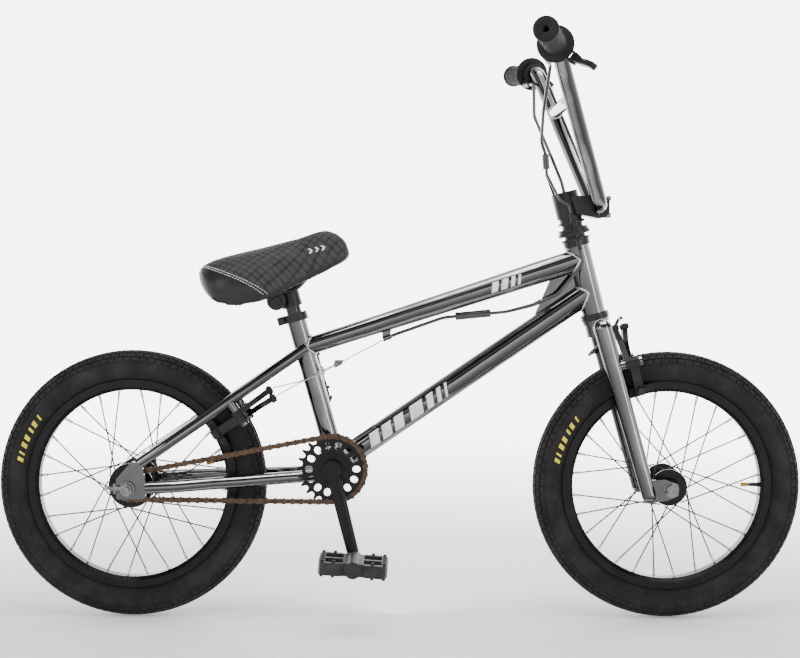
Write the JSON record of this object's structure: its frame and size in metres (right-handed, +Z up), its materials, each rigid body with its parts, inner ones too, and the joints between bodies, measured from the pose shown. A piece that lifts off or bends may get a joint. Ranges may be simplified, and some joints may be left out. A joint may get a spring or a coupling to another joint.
{
  "type": "bmx bike",
  "caption": "Small-wheeled freestyle BMX bike with dark chrome frame and fork, cable detangler, rim brakes, chain drive, cage pedals and padded saddle.",
  "frame": {"origin": "on the ground under the middle of the bike, halfway between the axles", "axes": "+X forward, +Y to the rider's left, +Z up"},
  "size_m": [1.1928, 0.597, 0.8541],
  "materials": {
    "dark_chrome": "dark mirror chrome plating",
    "black_metal": "satin black",
    "gloss_black_metal": "gloss black",
    "steel_parts": "zinc plated steel",
    "black_chrome": "black chrome",
    "bronze_chain": "brown oiled steel",
    "brake_rubber": "matt",
    "tyre_rubber": "matt tread rubber",
    "grip_rubber": "matt moulded rubber",
    "cable_housing": "gloss black housing",
    "cable_wire": "stranded steel wire",
    "pedal_plastic": "moulded grey-black plastic",
    "saddle_fabric": "embossed black fabric and smooth black leatherette",
    "saddle_plastic": "gloss black moulding"
  },
  "bodies": {
    "frame": {"head_tube": "dark_chrome", "seat_tube": "dark_chrome", "top_tube": "dark_chrome", "down_tube": "dark_chrome", "bottom_bracket_shell": "dark_chrome", "chain_stays": "dark_chrome", "seat_stays": "dark_chrome", "rear_dropouts": "dark_chrome", "bearing_cups": "black_metal", "seat_clamp": "black_metal", "rear_axle": "steel_parts", "chain_tensioners": "steel_parts", "chain": "bronze_chain", "rear_cable_housing": "cable_housing", "rear_cable_wire": "cable_wire", "cable_fittings": "dark_chrome", "gyro_plate": "black_metal"},
    "fork": {"fork_steerer": "dark_chrome", "fork_legs": "dark_chrome", "front_axle": "steel_parts", "steering_stack": "black_metal", "stem": "black_metal", "stem_cap": "black_metal", "stem_bolts": "steel_parts", "handlebar": "dark_chrome", "grips": "grip_rubber", "lever_perches": "black_metal", "brake_cables": "cable_housing"},
    "front_wheel": {"front_hub": "gloss_black_metal", "front_spokes": "gloss_black_metal", "front_rim": "gloss_black_metal", "front_tyre": "tyre_rubber"},
    "rear_wheel": {"rear_hub": "gloss_black_metal", "rear_spokes": "gloss_black_metal", "rear_rim": "gloss_black_metal", "rear_tyre": "tyre_rubber"},
    "driver": {"driver_cog": "steel_parts"},
    "cranks": {"crank": "gloss_black_metal", "sprocket": "gloss_black_metal", "pedal_spindles": "steel_parts"},
    "pedal_right": {"pedal_right": "pedal_plastic"},
    "pedal_left": {"pedal_left": "pedal_plastic"},
    "lever_right": {"lever_right": "black_metal"},
    "lever_left": {"lever_left": "black_metal"},
    "front_arm_right": {"front_brake_arm_right": "black_metal", "front_brake_pad_right": "brake_rubber"},
    "front_arm_left": {"front_brake_arm_left": "black_metal", "front_brake_pad_left": "brake_rubber"},
    "rear_arm_right": {"rear_brake_arm_right": "black_metal", "rear_brake_pad_right": "brake_rubber"},
    "rear_arm_left": {"rear_brake_arm_left": "black_metal", "rear_brake_pad_left": "brake_rubber"},
    "gyro_lower": {"gyro_lower": "black_metal"},
    "gyro_upper": {"gyro_upper": "black_metal"},
    "seat_post": {"seat_post": "black_chrome", "seat_post_clamp": "black_metal"},
    "saddle": {"saddle_clamp_cups": "black_metal", "saddle_rails": "black_metal", "saddle_base": "saddle_plastic", "saddle_cover": "saddle_fabric"}
  },
  "joints": [
    {"name": "steer", "type": "hinge", "parent": "frame", "child": "fork", "pos_m": [0.2624, 0, 0.5547], "axis": [-0.2504, 0, 0.9681], "continuous": true},
    {"name": "front_wheel_spin", "type": "hinge", "parent": "fork", "child": "front_wheel", "pos_m": [0.3975, 0, 0.199], "axis": [0, 1, 0], "continuous": true},
    {"name": "rear_wheel_spin", "type": "hinge", "parent": "frame", "child": "rear_wheel", "pos_m": [-0.3975, 0, 0.199], "axis": [0, 1, 0], "continuous": true},
    {"name": "crank_spin", "type": "hinge", "parent": "frame", "child": "cranks", "pos_m": [-0.09867, 0, 0.2263], "axis": [0, 1, 0], "continuous": true, "deforming": ["chain"]},
    {"name": "driver_spin", "type": "hinge", "parent": "frame", "child": "driver", "pos_m": [-0.3975, 0, 0.199], "axis": [0, 1, 0], "continuous": true, "deforming": ["chain"]},
    {"name": "pedal_right_spin", "type": "hinge", "parent": "cranks", "child": "pedal_right", "pos_m": [-0.06578, -0.12, 0.10001], "axis": [0, 1, 0], "continuous": true},
    {"name": "pedal_left_spin", "type": "hinge", "parent": "cranks", "child": "pedal_left", "pos_m": [-0.13157, 0.12, 0.35259], "axis": [0, 1, 0], "continuous": true},
    {"name": "lever_right_pull", "type": "hinge", "parent": "fork", "child": "lever_right", "pos_m": [0.23481, -0.1911, 0.80883], "axis": [-0.5981, 0.079, -0.7975], "range_deg": [0, 20], "stiffness_Nm_per_rad": 1, "springref_deg": -5.73},
    {"name": "lever_left_pull", "type": "hinge", "parent": "fork", "child": "lever_left", "pos_m": [0.23481, 0.1911, 0.80883], "axis": [0.5981, 0.079, 0.7975], "range_deg": [0, 20], "stiffness_Nm_per_rad": 1, "springref_deg": -5.73},
    {"name": "front_arm_right_swing", "type": "hinge", "parent": "fork", "child": "front_arm_right", "pos_m": [0.31311, -0.042, 0.3762], "axis": [0.9633, 0, 0.2685], "range_deg": [0, 2.2]},
    {"name": "rear_arm_right_swing", "type": "hinge", "parent": "frame", "child": "rear_arm_right", "pos_m": [-0.25091, -0.042, 0.32536], "axis": [0.5692, 0, -0.8222], "range_deg": [0, 2.2], "deforming": ["rear_cable_wire"]},
    {"name": "front_arm_left_swing", "type": "hinge", "parent": "fork", "child": "front_arm_left", "pos_m": [0.31311, 0.042, 0.3762], "axis": [-0.9633, 0, -0.2685], "range_deg": [0, 2.2]},
    {"name": "rear_arm_left_swing", "type": "hinge", "parent": "frame", "child": "rear_arm_left", "pos_m": [-0.25091, 0.042, 0.32536], "axis": [-0.5692, 0, 0.8222], "range_deg": [0, 2.2], "deforming": ["rear_cable_wire"]},
    {"name": "gyro_lift", "type": "slide", "parent": "frame", "child": "gyro_lower", "axis": [-0.2504, 0, 0.9681], "range_m": [0, 0.005]},
    {"name": "gyro_spin", "type": "hinge", "parent": "gyro_lower", "child": "gyro_upper", "pos_m": [0.2624, 0, 0.5547], "axis": [-0.2504, 0, 0.9681], "continuous": true},
    {"name": "seat_height", "type": "slide", "parent": "frame", "child": "seat_post", "axis": [-0.2723, 0, 0.9622], "range_m": [0, 0.05]},
    {"name": "saddle_tilt", "type": "hinge", "parent": "seat_post", "child": "saddle", "pos_m": [-0.18252, 0, 0.47249], "axis": [0, 1, 0], "range_deg": [-6, 6]}
  ],
  "couplings": [
    {"joint": "driver_spin", "follows": "crank_spin", "ratio": 2.6667},
    {"joint": "gyro_spin", "follows": "steer", "ratio": 1},
    {"joint": "gyro_lift", "follows": "lever_right_pull", "m_per_rad": 0.012892},
    {"joint": "rear_arm_right_swing", "follows": "lever_right_pull", "ratio": 0.1078},
    {"joint": "rear_arm_left_swing", "follows": "lever_right_pull", "ratio": 0.1078},
    {"joint": "front_arm_right_swing", "follows": "lever_left_pull", "ratio": 0.1078},
    {"joint": "front_arm_left_swing", "follows": "lever_left_pull", "ratio": 0.1078}
  ]
}
